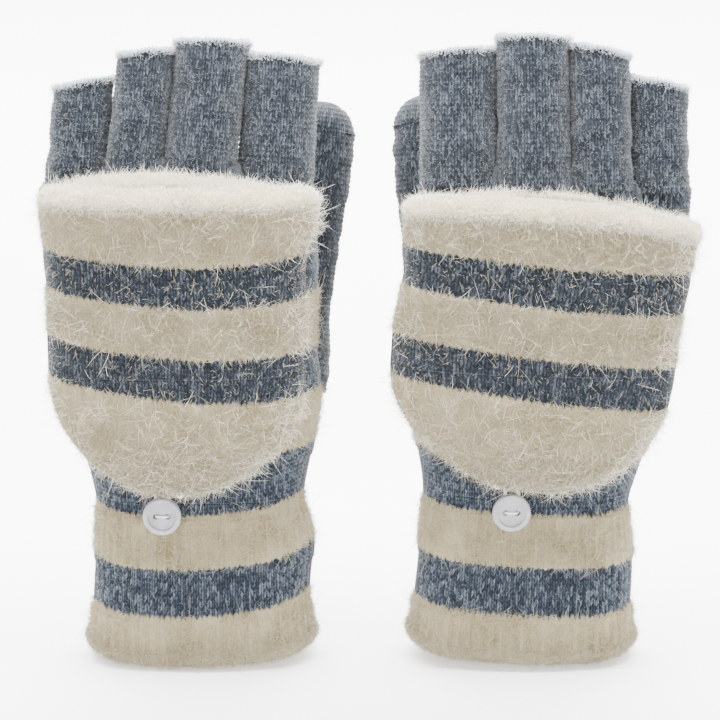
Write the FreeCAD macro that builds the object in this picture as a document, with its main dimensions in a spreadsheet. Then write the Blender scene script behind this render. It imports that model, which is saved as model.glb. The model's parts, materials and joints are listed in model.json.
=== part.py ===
import FreeCAD, Part
import Sketcher
import math
import os
from FreeCAD import Placement, Rotation, Vector

# A pair of flip-top half-finger gloves, in millimetres, standing as they are worn.
# +Z points to the fingertips, the backs of the hands face -Y and the palms face +Y.
# The origin is the middle of the left glove's hand opening, at the hem.
#
# Each glove is drawn in a frame of its own: hem on z = 0, centre line on x = 0, and "across"
# distances counted towards the thumb, which is +X on the left glove and -X on the right one.

DIMENSIONS = [
    # cuff and hand
    ("hem_half_width", 34.5),
    ("hem_half_depth", 18.0),
    ("wrist_half_width", 31.5),
    ("wrist_half_depth", 16.6),
    ("palm_half_width", 37.5),
    ("knuckle_half_width", 41.0),
    ("hand_half_depth", 17.0),
    ("cuff_crown", 98.0),
    ("hand_crown", 137.0),
    ("palm_lean_share", 0.4),
    ("knuckle_lean_share", 0.85),
    ("welt_height", 5.0),
    ("wrist_height", 52.0),
    ("palm_height", 82.0),
    ("knuckle_height", 118.0),
    ("knuckle_line", 138.0),
    ("block_above_hinge", 15.0),
    ("knit_wall", 2.4),
    # fingers, which start on a plane through the knuckles that faces the fingertips
    ("hinge_height", 149.5),
    ("finger_tilt", 12.0),
    ("root_level", 1.0),
    ("root_hole_reach", 4.8),
    ("tube_below_root", 3.0),
    ("finger_wall", 2.2),
    ("finger_clearance", 1.8),
    ("edging_height", 1.8),
    ("edging_proud", 0.3),
    ("index_radius", 11.3),
    ("index_across", 29.05),
    ("index_length", 37.0),
    ("middle_radius", 10.9),
    ("middle_across", 6.35),
    ("middle_length", 41.5),
    ("ring_radius", 8.9),
    ("ring_across", -13.95),
    ("ring_length", 38.5),
    ("little_radius", 8.5),
    ("little_across", -31.85),
    ("little_length", 29.5),
    # thumb
    ("thumb_foot_radius", 10.8),
    ("thumb_tip_radius", 9.6),
    ("thumb_wall", 2.2),
    ("thumb_base_across", 24.0),
    ("thumb_base_back", 8.0),
    ("thumb_base_height", 84.0),
    ("thumb_tip_back", 28.0),
    ("thumb_tip_height", 157.0),
    # mitten cap, folded down over the back of the hand
    ("cap_half_width", 41.5),
    ("cap_tip_height", 56.0),
    ("cap_corner", 34.0),
    ("cap_wall", 1.8),
    ("cap_gap", 1.1),
    ("layer_gap", 0.3),
    ("cap_top_gap", 1.6),
    ("pouch_depth", 5.0),
    ("pouch_edge", 3.0),
    ("pouch_above_mouth", 5.0),
    ("cap_blank_depth", 42.5),
    ("front_crown", 83.0),
    ("rim_radius", 4.0),
    ("rim_drop", 7.5),
    ("rim_overhang", 0.5),
    ("seam_half_width", 32.0),
    ("seam_above", 0.7),
    ("seam_below", 1.2),
    # button, its thread and the loop that holds the cap down
    ("button_radius", 5.7),
    ("button_thickness", 2.4),
    ("button_dish_radius", 4.3),
    ("button_dish_depth", 0.7),
    ("button_edge_round", 0.6),
    ("button_hole_radius", 0.9),
    ("button_hole_half_pitch", 1.8),
    ("button_height", 49.2),
    ("button_stand_off", 3.0),
    ("thread_radius", 0.45),
    ("shank_radius", 1.1),
    ("shank_sink", 0.3),
    ("thread_slack", 0.35),
    ("loop_radius", 0.5),
    ("loop_half_width", 1.95),
    ("loop_stand_off", 1.1),
    ("loop_gap", 0.1),
    # left glove
    ("left_side", 1.0),
    ("left_x", 0.0),
    ("left_z", 0.0),
    ("left_turn", 0.0),
    ("left_lean", 5.7),
    ("left_finger_lean", 5.0),
    ("left_thumb_tip_across", 34.5),
    ("left_button_across", -10.5),
    # right glove, turned a little about the Y axis
    ("right_side", -1.0),
    ("right_x", 98.2),
    ("right_z", 1.1),
    ("right_turn", 1.8),
    ("right_lean", 3.8),
    ("right_finger_lean", 2.5),
    ("right_thumb_tip_across", 31.5),
    ("right_button_across", 5.8),
]

FINGERS = ("index", "middle", "ring", "little")
X_AXIS = Vector(1, 0, 0)
Y_AXIS = Vector(0, 1, 0)
Z_AXIS = Vector(0, 0, 1)
MARGIN = 60.0  # how far helper solids reach past what they cut

doc = FreeCAD.newDocument("flip_top_gloves")
sheet = doc.addObject("Spreadsheet::Sheet", "Sizes")
for row, (alias, number) in enumerate(DIMENSIONS, start=1):
    sheet.set("A%d" % row, alias)
    sheet.set("B%d" % row, str(number))
    sheet.setAlias("B%d" % row, alias)
doc.recompute()

nodes = []


def size(alias):
    """The number in the sheet's cell of that name."""
    return float(sheet.get(alias))


def bind(obj, **expressions):
    """Bind properties of an object to expressions; S. in them stands for the sheet."""
    for name, text in expressions.items():
        obj.setExpression(name, text.replace("S.", "Sizes."))
    return obj


def make(kind, name, placement=None, **expressions):
    obj = bind(doc.addObject(kind, name), **expressions)
    if placement is not None:
        obj.Placement = placement
    return obj


def boolean(kind, name, base, tool):
    obj = doc.addObject(kind, name)
    obj.Base = base
    obj.Tool = tool
    return obj


def cut(name, base, tool):
    return boolean("Part::Cut", name, base, tool)


def common(name, base, tool):
    return boolean("Part::Common", name, base, tool)


def fuse(name, base, tool):
    return boolean("Part::Fuse", name, base, tool)


def feature(name, shape):
    obj = doc.addObject("Part::Feature", name)
    obj.Shape = shape
    return obj


def node(glove, name, obj):
    """Register a finished sub-part under its own label and move it to its glove's place."""
    obj.Label = "%s_%s" % (glove.name, name)
    obj.Placement = glove.placement * obj.Placement
    nodes.append(obj)
    return obj


def oval(half_width, half_depth, crown, centre_x, z):
    """Closed wire of four tangent arcs: back and palm of radius crown, and round sides."""
    end = (2 * crown * half_depth - half_width**2 - half_depth**2) / (2 * (crown - half_width))
    end_x = half_width - end
    reach = math.hypot(end_x, crown - half_depth)
    side_x = end_x + end * end_x / reach
    side_y = end * (crown - half_depth) / reach

    def point(x, y):
        return Vector(centre_x + x, y, z)

    back = Part.Arc(point(-side_x, -side_y), point(0, -half_depth), point(side_x, -side_y))
    right = Part.Arc(point(side_x, -side_y), point(half_width, 0), point(side_x, side_y))
    palm = Part.Arc(point(side_x, side_y), point(0, half_depth), point(-side_x, side_y))
    left = Part.Arc(point(-side_x, side_y), point(-half_width, 0), point(-side_x, -side_y))
    return Part.Wire([arc.toShape() for arc in (back, right, palm, left)])


class Glove:
    """What is the same for every piece of one glove: its side, place and reference frames."""

    def __init__(self, name):
        self.name = name
        self.side = size(name + "_side")
        self.lean = size(name + "_lean")
        place = Vector(size(name + "_x"), 0, size(name + "_z"))
        self.placement = Placement(place, Rotation(Y_AXIS, size(name + "_turn")))
        self.hinge_y = -(size("hand_half_depth") + size("cap_gap") + size("cap_wall") / 2)
        self.tilted = Rotation(X_AXIS, -size("finger_tilt"))
        self.knuckle_x = -self.side * self.lean

    def at_knuckles(self, x, normal, level, turn=Rotation()):
        """A placement in the tilted finger frame, whose origin is the cap's hinge line."""
        origin = Vector(self.knuckle_x, self.hinge_y, size("hinge_height"))
        return Placement(origin + self.tilted.multVec(Vector(x, normal, level)), self.tilted * turn)

    def sections(self, shrink):
        """The hand's outlines from wrist to above the knuckles, each smaller by shrink."""
        depth = size("hand_half_depth") - shrink
        crown = size("hand_crown") - shrink
        knuckle_width = size("knuckle_half_width") - shrink
        top = size("hinge_height") + size("block_above_hinge")
        return [
            oval(size("wrist_half_width") - shrink, size("wrist_half_depth") - shrink,
                 size("cuff_crown") - shrink, 0.0, size("wrist_height")),
            oval(size("palm_half_width") - shrink, depth, crown,
                 self.knuckle_x * size("palm_lean_share"), size("palm_height")),
            oval(knuckle_width, depth, crown, self.knuckle_x * size("knuckle_lean_share"),
                 size("knuckle_height")),
            oval(knuckle_width, depth, crown, self.knuckle_x, top),
        ]


def stack(outlines):
    """A solid that runs straight from each outline to the next one above it."""
    return Part.makeLoft(outlines, True, True)


def sleeve(outer, inner):
    """A hollow solid between two stacks of outlines."""
    return stack(outer).cut(stack(inner))


def cuff_outlines(low, high, shrink):
    """The cuff's outlines at two heights; it narrows evenly from the hem to the wrist."""
    rings = []
    for z in (low, high):
        share = z / size("wrist_height")
        width = size("hem_half_width") * (1 - share) + size("wrist_half_width") * share
        depth = size("hem_half_depth") * (1 - share) + size("wrist_half_depth") * share
        rings.append(oval(width - shrink, depth - shrink, size("cuff_crown") - shrink, 0.0, z))
    return rings


def make_cuff(glove):
    """The folded hem at the hand opening, and the ribbed cuff above it."""
    wall = size("knit_wall")
    welt_top = size("welt_height")
    proud = size("edging_proud")
    welt = sleeve(cuff_outlines(0, welt_top, -proud), cuff_outlines(0, welt_top, wall))
    node(glove, "cuff_welt", feature(glove.name + "_welt", welt))
    wrist = size("wrist_height")
    ribbed = sleeve(cuff_outlines(welt_top, wrist, 0), cuff_outlines(welt_top, wrist, wall))
    node(glove, "cuff", feature(glove.name + "_ribbed_cuff", ribbed))


def finger_cylinder(glove, finger, name, radius, length, level):
    """A cylinder on a finger's axis; radius and length are expressions, level is its start."""
    clearance = size("finger_clearance") + size(finger + "_radius")
    x = size(finger + "_across")
    normal = clearance + x**2 / (2 * size("hand_crown"))
    lean = Rotation(Y_AXIS, glove.side * size(glove.name + "_finger_lean"))
    foot = lean.multVec(Vector(0, 0, level))
    place = glove.at_knuckles(glove.side * x + foot.x, normal, foot.z, lean)
    return make("Part::Cylinder", "%s_%s_%s" % (glove.name, finger, name), place,
                Radius=radius, Height=length)


def root_block(glove, name, level, up):
    """A large box that ends on the plane where the fingers start, above it or below it."""
    start = level if up else level - 2 * MARGIN
    place = glove.at_knuckles(-2 * MARGIN, -2 * MARGIN, start)
    box = make("Part::Box", "%s_%s" % (glove.name, name), place)
    box.Length = 4 * MARGIN
    box.Width = 4 * MARGIN
    box.Height = 2 * MARGIN
    return box


def thumb_capsule(glove, name, shrink):
    """The thumb's outside, or its inside when shrunk by the wall: a cone with round ends."""
    foot = Vector(glove.side * size("thumb_base_across"), size("thumb_base_back"),
                  size("thumb_base_height"))
    tip = Vector(glove.side * size(glove.name + "_thumb_tip_across"), size("thumb_tip_back"),
                 size("thumb_tip_height"))
    along = Rotation(Z_AXIS, tip - foot)
    foot_radius = "S.thumb_foot_radius - %s" % shrink
    tip_radius = "S.thumb_tip_radius - %s" % shrink
    cone = make("Part::Cone", "%s_%s_cone" % (glove.name, name), Placement(foot, along),
                Radius1=foot_radius, Radius2=tip_radius)
    cone.Height = (tip - foot).Length
    foot_end = make("Part::Sphere", "%s_%s_foot_end" % (glove.name, name),
                    Placement(foot, along), Radius=foot_radius)
    tip_end = make("Part::Sphere", "%s_%s_tip_end" % (glove.name, name),
                   Placement(tip, along), Radius=tip_radius)
    rounded = fuse("%s_%s_foot" % (glove.name, name), cone, foot_end)
    return fuse("%s_%s" % (glove.name, name), rounded, tip_end)


def make_hand(glove):
    """The hand, the knuckles that close it except for four finger holes, and the thumb."""
    above = root_block(glove, "above_knuckles", size("root_level"), True)
    roof = root_block(glove, "roof", size("root_level") - size("knit_wall"), True)
    block = feature(glove.name + "_hand_block", stack(glove.sections(0)))
    outside = cut(glove.name + "_hand_outside", block, above)
    core = feature(glove.name + "_hand_core", stack(glove.sections(size("knit_wall"))))
    inside = cut(glove.name + "_hand_inside", core, roof)
    thumb_inside = thumb_capsule(glove, "thumb_inside", "S.thumb_wall")
    shell = cut(glove.name + "_hand_shell", outside, inside)
    shell = cut(glove.name + "_hand_thumb_hole", shell, thumb_inside)
    for finger in FINGERS:
        hole = finger_cylinder(glove, finger, "hole", "S.%s_radius - S.finger_wall" % finger,
                               "2 * S.root_hole_reach", -size("root_hole_reach"))
        shell = cut("%s_hand_%s_hole" % (glove.name, finger), shell, hole)
    upper = make("Part::Box", glove.name + "_knuckle_space",
                 Placement(Vector(-2 * MARGIN, -2 * MARGIN, size("knuckle_line")), Rotation()))
    upper.Length = 4 * MARGIN
    upper.Width = 4 * MARGIN
    upper.Height = MARGIN
    node(glove, "hand", cut(glove.name + "_hand", shell, upper))
    node(glove, "knuckles", common(glove.name + "_knuckles", shell, upper))

    thumb_outside = thumb_capsule(glove, "thumb_outside", "0")
    thumb = cut(glove.name + "_thumb_wall", thumb_outside, thumb_inside)
    node(glove, "thumb", cut(glove.name + "_thumb", thumb, outside))
    return outside


def make_fingers(glove):
    """Four open finger tubes on the knuckle plane, each with an edging ring on its end."""
    below = root_block(glove, "below_knuckles", size("root_level"), False)
    start = size("root_level") - size("tube_below_root")
    for finger in FINGERS:
        outer = "S.%s_radius" % finger
        inner = "S.%s_radius - S.finger_wall" % finger
        length = "S.%s_length - S.root_level + S.tube_below_root" % finger
        tube = finger_cylinder(glove, finger, "tube", outer, length, start)
        bore = finger_cylinder(glove, finger, "bore", inner, length, start)
        sleeve_cut = cut("%s_%s_sleeve" % (glove.name, finger), tube, bore)
        node(glove, finger + "_finger",
             cut("%s_%s_finger" % (glove.name, finger), sleeve_cut, below))
        end = size(finger + "_length")
        ring = finger_cylinder(glove, finger, "ring", outer + " + S.edging_proud",
                               "S.edging_height", end)
        hole = finger_cylinder(glove, finger, "ring_hole", inner, "S.edging_height", end)
        node(glove, finger + "_edging", cut("%s_%s_edging" % (glove.name, finger), ring, hole))


def crown_cylinder(glove, name, front_y, radius):
    """An upright cylinder whose nearest line to the viewer of the hand's back is at front_y."""
    place = Placement(Vector(glove.knuckle_x, front_y + radius, 0), Rotation())
    rod = make("Part::Cylinder", "%s_%s" % (glove.name, name), place)
    rod.Radius = radius
    rod.Height = size("hinge_height") + MARGIN
    return rod


def cap_outline(glove, name, inset, top):
    """The cap's outline padded away from the hand: straight sides and a rounded tip."""
    body = doc.addObject("PartDesign::Body", "%s_%s" % (glove.name, name))
    sketch = body.newObject("Sketcher::SketchObject", body.Name + "_sketch")
    plane = [f for f in body.Origin.OriginFeatures if f.Role == "XZ_Plane"][0]
    sketch.AttachmentSupport = (plane, [""])
    sketch.MapMode = "FlatFace"
    half, low, high = 40.0, 50.0, 150.0
    corners = [Vector(-half, low, 0), Vector(half, low, 0), Vector(half, high, 0),
               Vector(-half, high, 0)]
    for i in range(4):
        sketch.addGeometry(Part.LineSegment(corners[i], corners[(i + 1) % 4]))
    for i in range(4):
        sketch.addConstraint(Sketcher.Constraint("Coincident", i, 2, (i + 1) % 4, 1))
    sketch.addConstraint(Sketcher.Constraint("Horizontal", 0))
    sketch.addConstraint(Sketcher.Constraint("Vertical", 1))
    sketch.addConstraint(Sketcher.Constraint("Horizontal", 2))
    sketch.addConstraint(Sketcher.Constraint("Vertical", 3))
    for label, kind, geometry, point, value, text in (
        ("right", "DistanceX", 0, 2, half, "S.cap_half_width - %s" % inset),
        ("left", "DistanceX", 0, 1, -half, "-(S.cap_half_width - %s)" % inset),
        ("tip", "DistanceY", 0, 2, low, "S.cap_tip_height + %s" % inset),
        ("top", "DistanceY", 2, 1, high, top),
    ):
        index = sketch.addConstraint(Sketcher.Constraint(kind, -1, 1, geometry, point, value))
        sketch.renameConstraint(index, label)
        bind(sketch, **{"Constraints.%s" % label: text})
    pad = body.newObject("PartDesign::Pad", body.Name + "_pad")
    pad.Profile = sketch
    bind(pad, Length="S.cap_blank_depth")
    doc.recompute()
    if pad.Shape.BoundBox.YMin > -1:
        pad.Reversed = True
        doc.recompute()
    tip = size("cap_tip_height")
    edges = []
    for number, edge in enumerate(pad.Shape.Edges, start=1):
        box = edge.BoundBox
        if box.YLength > 1 and box.ZMax < tip + 2 * size("pouch_edge"):
            edges.append("Edge%d" % number)
    fillet = body.newObject("PartDesign::Fillet", body.Name + "_tip_corners")
    fillet.Base = (pad, edges)
    bind(fillet, Radius="S.cap_corner - %s" % inset)
    body.Tip = fillet
    body.Placement = Placement(Vector(glove.knuckle_x, 0, 0), Rotation())
    doc.recompute()
    return body


def make_cap(glove, hand_outside):
    """The mitten cap: back layer on the hinge line, front layer, rolled rim and its seam."""
    hand_face = -size("hand_half_depth")
    back_inner = hand_face - size("cap_gap")
    back_outer = back_inner - size("cap_wall")
    layer_face = back_outer - size("layer_gap")
    crown = size("hand_crown")
    inner = crown_cylinder(glove, "back_inner", back_inner, crown + size("cap_gap"))
    outer_radius = crown + size("cap_gap") + size("cap_wall")
    outer = crown_cylinder(glove, "back_outer", back_outer, outer_radius)
    layer = crown_cylinder(glove, "layer_face", layer_face, outer_radius + size("layer_gap"))
    outline = cap_outline(glove, "cap_outline", "0", "S.hinge_height - S.cap_top_gap")
    panel = common(glove.name + "_back_block", outline, outer)
    node(glove, "cap_back", cut(glove.name + "_cap_back", panel, inner))

    front_face = back_outer - size("pouch_depth")
    front_outer = crown_cylinder(glove, "front_outer", front_face, size("front_crown"))
    front_inner = crown_cylinder(glove, "front_inner", front_face + size("cap_wall"),
                                 size("front_crown") - size("cap_wall"))
    mouth = "S.hinge_height - S.cap_top_gap - S.rim_drop"
    front_outline = cap_outline(glove, "front_outline", "0", mouth)
    pouch_outline = cap_outline(glove, "pouch_outline", "S.pouch_edge",
                                mouth + " + S.pouch_above_mouth")
    front_block = common(glove.name + "_front_block", front_outline, front_outer)
    front_block = cut(glove.name + "_front_layer", front_block, layer)
    pouch = common(glove.name + "_pouch", pouch_outline, front_inner)
    front = cut(glove.name + "_front_shell", front_block, pouch)
    rim_space = make_rim(glove, "rim_space", back_outer, outer_radius)
    node(glove, "cap_front", cut(glove.name + "_cap_front", front, rim_space))
    node(glove, "cap_rim", make_rim(glove, "rim", back_outer, outer_radius))

    height = size("seam_above") + size("seam_below")
    half = size("seam_half_width")
    corner = Vector(glove.knuckle_x - half, back_outer, size("hinge_height") - size("seam_below"))
    slab = make("Part::Box", glove.name + "_seam_slab", Placement(corner, Rotation()),
                Length="2 * S.seam_half_width")
    slab.Height = height
    slab.Width = size("hand_half_depth")
    seam = common(glove.name + "_seam_band", slab, outer)
    seam = cut(glove.name + "_seam_on_hand", seam, hand_outside)
    above = root_block(glove, "above_seam", size("root_level"), True)
    node(glove, "cap_seam", cut(glove.name + "_cap_seam", seam, above))


def make_rim(glove, name, back_outer, outer_radius):
    """The rolled edge of the cap's mouth: an arc of a torus round the hand's crown."""
    gap = size("layer_gap") + size("rim_radius")
    radius = outer_radius + gap
    half_width = size("cap_half_width") + size("rim_overhang")
    half_angle = math.degrees(math.asin(half_width / radius))
    centre = Vector(glove.knuckle_x, back_outer - gap + radius,
                    size("hinge_height") - size("cap_top_gap") - size("rim_drop"))
    turn = Rotation(Z_AXIS, -90 - half_angle)
    rim = make("Part::Torus", "%s_%s" % (glove.name, name), Placement(centre, turn),
               Radius2="S.rim_radius")
    rim.Radius1 = radius
    rim.Angle3 = 2 * half_angle
    return rim


def circle_sketch(body, name, offset, circles):
    """Circles on the body's XZ plane, moved by offset; each is (x, radius expression)."""
    sketch = body.newObject("Sketcher::SketchObject", "%s_%s" % (body.Name, name))
    plane = [f for f in body.Origin.OriginFeatures if f.Role == "XZ_Plane"][0]
    sketch.AttachmentSupport = (plane, [""])
    sketch.MapMode = "FlatFace"
    sketch.AttachmentOffset = Placement(Vector(0, 0, offset), Rotation())
    for x, radius in circles:
        index = sketch.addGeometry(Part.Circle(Vector(x, 0, 0), Z_AXIS, 1.0))
        number = sketch.addConstraint(Sketcher.Constraint("Radius", index, 1.0))
        sketch.renameConstraint(number, "radius%d" % index)
        bind(sketch, **{"Constraints.radius%d" % index: radius})
        sketch.addConstraint(Sketcher.Constraint("DistanceX", -1, 1, index, 3, x))
        sketch.addConstraint(Sketcher.Constraint("DistanceY", -1, 1, index, 3, 0.0))
    return sketch


def pocket(body, name, sketch, length):
    """Cut a sketch into a body towards +Y, from the button's face to its back."""
    before = body.Shape.Volume
    hole = body.newObject("PartDesign::Pocket", "%s_%s" % (body.Name, name))
    hole.Profile = sketch
    bind(hole, Length=length)
    doc.recompute()
    if hole.Shape.Volume > before - 0.01:
        hole.Reversed = True
        doc.recompute()
    return hole


def make_button(glove):
    """A dished two-hole button on a thread shank, and the loop from the cap's tip round it."""
    x = glove.side * size(glove.name + "_button_across")
    z = size("button_height")
    share = z / size("wrist_height")
    depth = size("hem_half_depth") * (1 - share) + size("wrist_half_depth") * share
    cuff_y = -depth + x**2 / (2 * size("cuff_crown"))
    back_y = cuff_y - size("button_stand_off")
    thickness = size("button_thickness")

    body = doc.addObject("PartDesign::Body", glove.name + "_button_body")
    disc = circle_sketch(body, "disc", 0, [(0, "S.button_radius")])
    pad = body.newObject("PartDesign::Pad", body.Name + "_pad")
    pad.Profile = disc
    bind(pad, Length="S.button_thickness")
    doc.recompute()
    if pad.Shape.BoundBox.YMin > -thickness / 2:
        pad.Reversed = True
        doc.recompute()
    dish = circle_sketch(body, "dish", thickness, [(0, "S.button_dish_radius")])
    pocket(body, "dish_cut", dish, "S.button_dish_depth")
    pitch = size("button_hole_half_pitch")
    holes = circle_sketch(body, "holes", thickness,
                          [(-pitch, "S.button_hole_radius"), (pitch, "S.button_hole_radius")])
    drilled = pocket(body, "hole_cut", holes, "S.button_thickness * 2")
    rounded = body.newObject("PartDesign::Fillet", body.Name + "_round")
    rim = []
    for number, edge in enumerate(drilled.Shape.Edges, start=1):
        if abs(edge.BoundBox.XMax - size("button_radius")) < 0.01 and edge.BoundBox.YLength < 0.01:
            rim.append("Edge%d" % number)
    rounded.Base = (drilled, rim)
    bind(rounded, Radius="S.button_edge_round")
    body.Tip = rounded
    doc.recompute()
    body.Placement = Placement(Vector(x, back_y, z), Rotation())
    node(glove, "button", body)

    make_thread(glove, x, z, cuff_y, back_y)
    make_loop(glove, x, z, cuff_y)


def make_thread(glove, x, z, cuff_y, back_y):
    """The shank wound under the button, and the stitches through its two holes."""
    slack = size("thread_slack")
    outward = Rotation(Z_AXIS, Vector(0, -1, 0))
    root = Vector(x, cuff_y + size("shank_sink"), z)
    shank = make("Part::Cylinder", glove.name + "_shank", Placement(root, outward),
                 Radius="S.shank_radius")
    shank.Height = root.y - back_y - slack
    dish_y = back_y - size("button_thickness") + size("button_dish_depth")
    top_y = dish_y - slack - size("thread_radius")
    pitch = size("button_hole_half_pitch")
    spread = pitch + size("thread_radius")
    bridge = make("Part::Cylinder", glove.name + "_bridge",
                  Placement(Vector(x - spread, top_y, z), Rotation(Z_AXIS, X_AXIS)),
                  Radius="S.thread_radius")
    bridge.Height = 2 * spread
    base_y = back_y + slack
    under = make("Part::Cylinder", glove.name + "_under",
                 Placement(Vector(x - spread, base_y + size("thread_radius"), z),
                           Rotation(Z_AXIS, X_AXIS)),
                 Radius="S.thread_radius")
    under.Height = 2 * spread
    thread = fuse(glove.name + "_stitches", shank, bridge)
    thread = fuse(glove.name + "_stitches_under", thread, under)
    for number, side in enumerate((-1, 1)):
        start = Vector(x + side * pitch, base_y + size("thread_radius"), z)
        strand = make("Part::Cylinder", "%s_strand%d" % (glove.name, number),
                      Placement(start, outward), Radius="S.thread_radius")
        strand.Height = start.y - top_y
        thread = fuse("%s_thread%d" % (glove.name, number), thread, strand)
    node(glove, "button_thread", thread)


def make_loop(glove, x, z, cuff_y):
    """An elastic loop that hangs from the cap's tip and passes behind the button."""
    y = cuff_y - size("loop_stand_off")
    half = size("loop_half_width")
    top = size("cap_tip_height") - size("loop_gap")
    bend = make("Part::Torus", glove.name + "_bend",
                Placement(Vector(x, y, z), Rotation(X_AXIS, -90)),
                Radius1="S.loop_half_width", Radius2="S.loop_radius")
    bend.Angle3 = 180
    legs = bend
    for number, side in enumerate((-1, 1)):
        leg = make("Part::Cylinder", "%s_leg%d" % (glove.name, number),
                   Placement(Vector(x + side * half, y, z), Rotation()),
                   Radius="S.loop_radius")
        leg.Height = top - z
        legs = fuse("%s_loop%d" % (glove.name, number), legs, leg)
    node(glove, "cap_loop", legs)


def check():
    """Stop if any object failed to build."""
    doc.recompute()
    for obj in doc.Objects:
        if "Invalid" in obj.State or "Error" in obj.State:
            raise RuntimeError("%s failed: %s" % (obj.Label, obj.State))
    for obj in nodes:
        shape = obj.Shape
        if shape.isNull() or not shape.isValid() or shape.Volume <= 0:
            raise RuntimeError("%s has no valid solid" % obj.Label)


for glove_name in ("left", "right"):
    one = Glove(glove_name)
    make_cuff(one)
    palm = make_hand(one)
    make_fingers(one)
    make_cap(one, palm)
    make_button(one)
check()

os.makedirs("parts", exist_ok=True)
for obj in nodes:
    obj.Shape.exportStep("parts/%s.step" % obj.Label)
    box = obj.Shape.BoundBox
    print("%-22s solids %d volume %8.1f  x %7.1f %7.1f  y %6.1f %6.1f  z %6.1f %6.1f" % (
        obj.Label, len(obj.Shape.Solids), obj.Shape.Volume,
        box.XMin, box.XMax, box.YMin, box.YMax, box.ZMin, box.ZMax))
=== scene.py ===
import json
import math

import bpy
import numpy as np
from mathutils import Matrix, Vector


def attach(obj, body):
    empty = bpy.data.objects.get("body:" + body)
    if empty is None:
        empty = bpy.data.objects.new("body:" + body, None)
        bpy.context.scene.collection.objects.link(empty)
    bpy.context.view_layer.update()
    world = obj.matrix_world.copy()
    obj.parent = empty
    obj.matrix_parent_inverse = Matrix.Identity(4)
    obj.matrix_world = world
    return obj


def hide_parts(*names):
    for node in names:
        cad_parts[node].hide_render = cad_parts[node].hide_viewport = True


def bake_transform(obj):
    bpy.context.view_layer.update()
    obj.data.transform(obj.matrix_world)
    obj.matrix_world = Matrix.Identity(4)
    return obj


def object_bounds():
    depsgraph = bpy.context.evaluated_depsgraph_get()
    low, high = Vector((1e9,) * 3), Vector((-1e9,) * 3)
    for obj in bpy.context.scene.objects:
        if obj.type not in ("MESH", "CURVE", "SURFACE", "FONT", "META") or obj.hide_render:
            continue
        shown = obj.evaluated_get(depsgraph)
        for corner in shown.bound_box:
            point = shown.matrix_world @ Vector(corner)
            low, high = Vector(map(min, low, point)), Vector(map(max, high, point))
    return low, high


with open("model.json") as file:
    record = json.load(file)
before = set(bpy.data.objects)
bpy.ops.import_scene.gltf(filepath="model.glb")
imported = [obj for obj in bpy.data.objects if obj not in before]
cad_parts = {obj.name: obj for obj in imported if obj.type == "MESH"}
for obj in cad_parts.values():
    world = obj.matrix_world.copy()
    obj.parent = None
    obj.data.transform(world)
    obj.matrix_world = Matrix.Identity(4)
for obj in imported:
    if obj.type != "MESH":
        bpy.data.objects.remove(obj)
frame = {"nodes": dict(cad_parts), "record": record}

# Looks of a pair of flip-top half-finger gloves. Shapes are worked out in millimetres in each
# glove's own frame: hem on z = 0, centre line on x = 0, back of the hand towards -y. "Depth" is
# the distance behind the cap's hinge line, towards the palm. A surface carries its stitch count,
# so that yarn relief, colours and stripes all follow the same stitches.

MM = 0.001
WALE = 1.9  # width of a stitch
COURSE = 1.5  # height of a stitch
STEPS = 4  # mesh rows and columns in a stitch
FINGERS = ("index", "middle", "ring", "little")
SLEEVE_BLUE = ((15.1, 30.2), (46.8, 63.7), (83.8, 97.3), (115.1, 400.0))  # mm up from the hem
CAP_BLUE = ((86.0, 99.2), (114.0, 126.6))
TOO_HIGH = 200  # a band that ends above this has no upper edge
TAU = 2 * math.pi

cad_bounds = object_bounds()
record = frame["record"]


# ---------------------------------------------------------------- numbers and surfaces

def smooth(x):
    x = np.clip(x, 0, 1)
    return x * x * (3 - 2 * x)


def mix(a, b, share):
    return a + (b - a) * share


def waves(points, feature, seed):
    """Smooth noise of about -1 to 1 at points, with features about that many mm across."""
    rng = np.random.default_rng(seed)
    total = np.zeros(points.shape[:-1])
    for _ in range(8):
        direction = rng.normal(size=3)
        direction *= TAU * rng.uniform(0.6, 1.4) / (feature * np.linalg.norm(direction))
        total += np.sin(points @ direction + rng.uniform(0, TAU))
    return total / 4


def normals(points, closed):
    """Outward unit normals of a grid whose columns run round and whose rows run up."""
    if closed:
        across = np.roll(points, -1, 1) - np.roll(points, 1, 1)
    else:
        across = np.gradient(points, axis=1)
    normal = np.cross(across, np.gradient(points, axis=0))
    length = np.linalg.norm(normal, axis=2, keepdims=True)
    return np.where(length > 1e-6, normal / np.maximum(length, 1e-6), 0)


def oval(half_width, half_depth, crown, columns):
    """Evenly spaced points round a four-arc oval, from the middle of the palm by way of -x."""
    end = (2 * crown * half_depth - half_width**2 - half_depth**2) / (2 * (crown - half_width))
    end_x = half_width - end
    turn = math.atan2(crown - half_depth, end_x)
    palm = np.linspace(math.pi / 2, turn, 60)
    side = np.linspace(turn, 0, 60)
    x = np.concatenate([crown * np.cos(palm), end_x + end * np.cos(side)])
    y = np.concatenate([half_depth - crown + crown * np.sin(palm), end * np.sin(side)])
    x = np.concatenate([-x, -x[::-1], x, x[::-1]])
    y = np.concatenate([y, -y[::-1], -y, y[::-1]])
    run = np.concatenate([[0], np.cumsum(np.hypot(np.diff(x), np.diff(y)))])
    at = np.linspace(0, run[-1], columns, endpoint=False)
    return np.interp(at, run, x), np.interp(at, run, y)


# ---------------------------------------------------------------- stitches

def stockinette(u, v):
    """Height of the yarn, 0 to 1: two legs a wale, leaning together into a V."""
    side = np.abs(u - np.floor(u) - 0.5) * 2
    leg = 1 - np.abs(side - 0.5) ** 1.6 * 3.03
    turn = 0.5 + 0.5 * np.cos(TAU * (v - 0.9 * side))
    return leg * (0.55 + 0.45 * turn)


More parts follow.
